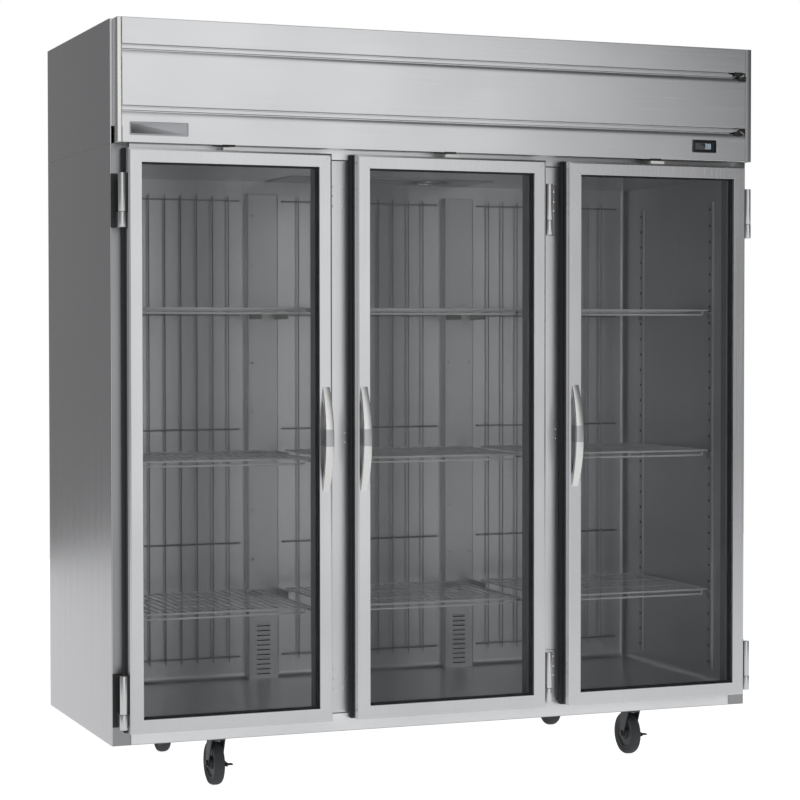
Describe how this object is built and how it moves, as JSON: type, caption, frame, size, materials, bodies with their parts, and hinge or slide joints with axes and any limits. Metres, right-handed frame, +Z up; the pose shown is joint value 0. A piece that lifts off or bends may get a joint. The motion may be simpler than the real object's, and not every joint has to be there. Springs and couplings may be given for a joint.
{
  "type": "reach-in refrigerator",
  "caption": "Upright stainless reach-in refrigerator with framed glass doors, wire shelves, a deep header over the doors, top-mounted machinery and swivel casters.",
  "frame": {"origin": "On the floor under the wheels, in the middle of the overall box in plan.", "axes": "+Z up, +X to the right along the width as seen from the front, +Y from the doors to the back; the doors face -Y."},
  "size_m": [1.981, 0.856, 2.1435],
  "materials": {
    "stainless_steel": "satin",
    "galvanised_steel": "satin",
    "foam": "matte",
    "liner_aluminium": "satin",
    "post_aluminium": "satin",
    "fin_aluminium": "satin",
    "plate_aluminium": "satin",
    "door_aluminium": "satin",
    "handle_metal": "satin",
    "dark_plastic": "matte",
    "housing_plastic": "matte",
    "fan_plastic": "satin",
    "lever_plastic": "satin",
    "display_plastic": "gloss",
    "gasket_rubber": "matte",
    "wheel_rubber": "satin",
    "tinted_glass": "polished",
    "chrome_plate": "polished",
    "zinc_plate": "satin",
    "caster_steel": "satin",
    "coated_wire": "satin",
    "black_enamel": "gloss",
    "copper": "satin"
  },
  "bodies": {
    "cabinet": {"back_panel": "galvanised_steel", "badge_plate": "plate_aluminium", "base_pan": "galvanised_steel", "breaker_strips": "dark_plastic", "caster_plates": "zinc_plate", "compartment_panels": "stainless_steel", "compressor": "black_enamel", "condenser_coil": "fin_aluminium", "condenser_shroud": "black_enamel", "control_box": "galvanised_steel", "controller_bezel": "display_plastic", "evaporator_coil": "fin_aluminium", "evaporator_housing": "housing_plastic", "fan_panel": "liner_aluminium", "front_frame": "stainless_steel", "header_panel": "stainless_steel", "hinge_brackets": "chrome_plate", "inner_liner": "liner_aluminium", "left_shelves": "coated_wire", "left_side_panel": "stainless_steel", "middle_shelves": "coated_wire", "mullion_posts": "stainless_steel", "power_inlet": "fan_plastic", "rear_posts": "post_aluminium", "rear_wire_guards": "coated_wire", "refrigerant_lines": "copper", "right_shelves": "coated_wire", "right_side_panel": "stainless_steel", "shelf_clips": "zinc_plate", "shelf_pilasters": "stainless_steel", "top_deck": "galvanised_steel", "wall_insulation": "foam"},
    "left_door": {"left_door_frame": "door_aluminium", "left_door_glass": "tinted_glass", "left_door_gasket": "gasket_rubber", "left_door_handle": "handle_metal", "left_door_hardware": "chrome_plate"},
    "middle_door": {"middle_door_frame": "door_aluminium", "middle_door_glass": "tinted_glass", "middle_door_gasket": "gasket_rubber", "middle_door_handle": "handle_metal", "middle_door_hardware": "chrome_plate"},
    "right_door": {"right_door_frame": "door_aluminium", "right_door_glass": "tinted_glass", "right_door_gasket": "gasket_rubber", "right_door_handle": "handle_metal", "right_door_hardware": "chrome_plate"},
    "front_left_swivel": {"front_left_fork": "caster_steel"},
    "front_left_roller": {"front_left_wheel": "wheel_rubber"},
    "front_right_swivel": {"front_right_fork": "caster_steel"},
    "front_right_roller": {"front_right_wheel": "wheel_rubber"},
    "rear_left_swivel": {"rear_left_fork": "caster_steel"},
    "rear_left_roller": {"rear_left_wheel": "wheel_rubber"},
    "rear_right_swivel": {"rear_right_fork": "caster_steel"},
    "rear_right_roller": {"rear_right_wheel": "wheel_rubber"},
    "front_left_brake": {"front_left_brake_lever": "lever_plastic"},
    "front_right_brake": {"front_right_brake_lever": "lever_plastic"},
    "condenser_fan_wheel": {"condenser_fan": "fan_plastic"},
    "left_evaporator_fan_wheel": {"left_evaporator_fan": "fan_plastic"},
    "right_evaporator_fan_wheel": {"right_evaporator_fan": "fan_plastic"}
  },
  "joints": [
    {"name": "left_door_hinge", "type": "hinge", "parent": "cabinet", "child": "left_door", "pos_m": [-0.9695, -0.381, 0.991], "axis": [0, 0, -1], "range_deg": [0, 110]},
    {"name": "middle_door_hinge", "type": "hinge", "parent": "cabinet", "child": "middle_door", "pos_m": [0.308, -0.381, 0.991], "axis": [0, 0, 1], "range_deg": [0, 110]},
    {"name": "right_door_hinge", "type": "hinge", "parent": "cabinet", "child": "right_door", "pos_m": [0.9695, -0.381, 0.991], "axis": [0, 0, 1], "range_deg": [0, 110]},
    {"name": "front_left_swivel_joint", "type": "hinge", "parent": "cabinet", "child": "front_left_swivel", "pos_m": [-0.66, -0.232, 0.1397], "axis": [0, 0, 1], "continuous": true},
    {"name": "front_left_axle", "type": "hinge", "parent": "front_left_swivel", "child": "front_left_roller", "pos_m": [-0.66, -0.202, 0.0635], "axis": [1, 0, 0], "continuous": true},
    {"name": "front_right_swivel_joint", "type": "hinge", "parent": "cabinet", "child": "front_right_swivel", "pos_m": [0.66, -0.232, 0.1397], "axis": [0, 0, 1], "continuous": true},
    {"name": "front_right_axle", "type": "hinge", "parent": "front_right_swivel", "child": "front_right_roller", "pos_m": [0.66, -0.202, 0.0635], "axis": [1, 0, 0], "continuous": true},
    {"name": "rear_left_swivel_joint", "type": "hinge", "parent": "cabinet", "child": "rear_left_swivel", "pos_m": [-0.66, 0.325, 0.1397], "axis": [0, 0, 1], "continuous": true},
    {"name": "rear_left_axle", "type": "hinge", "parent": "rear_left_swivel", "child": "rear_left_roller", "pos_m": [-0.66, 0.355, 0.0635], "axis": [1, 0, 0], "continuous": true},
    {"name": "rear_right_swivel_joint", "type": "hinge", "parent": "cabinet", "child": "rear_right_swivel", "pos_m": [0.66, 0.325, 0.1397], "axis": [0, 0, 1], "continuous": true},
    {"name": "rear_right_axle", "type": "hinge", "parent": "rear_right_swivel", "child": "rear_right_roller", "pos_m": [0.66, 0.355, 0.0635], "axis": [1, 0, 0], "continuous": true},
    {"name": "front_left_brake_pivot", "type": "hinge", "parent": "front_left_swivel", "child": "front_left_brake", "pos_m": [-0.6365, -0.202, 0.0635], "axis": [1, 0, 0], "range_deg": [0, 20]},
    {"name": "front_right_brake_pivot", "type": "hinge", "parent": "front_right_swivel", "child": "front_right_brake", "pos_m": [0.6835, -0.202, 0.0635], "axis": [1, 0, 0], "range_deg": [0, 20]},
    {"name": "condenser_fan_shaft", "type": "hinge", "parent": "cabinet", "child": "condenser_fan_wheel", "pos_m": [0.77, -0.147, 1.925], "axis": [0, 1, 0], "continuous": true},
    {"name": "left_evaporator_fan_shaft", "type": "hinge", "parent": "cabinet", "child": "left_evaporator_fan_wheel", "pos_m": [-0.15, 0.173, 1.792], "axis": [0, 0, 1], "continuous": true},
    {"name": "right_evaporator_fan_shaft", "type": "hinge", "parent": "cabinet", "child": "right_evaporator_fan_wheel", "pos_m": [0.15, 0.173, 1.792], "axis": [0, 0, 1], "continuous": true}
  ]
}
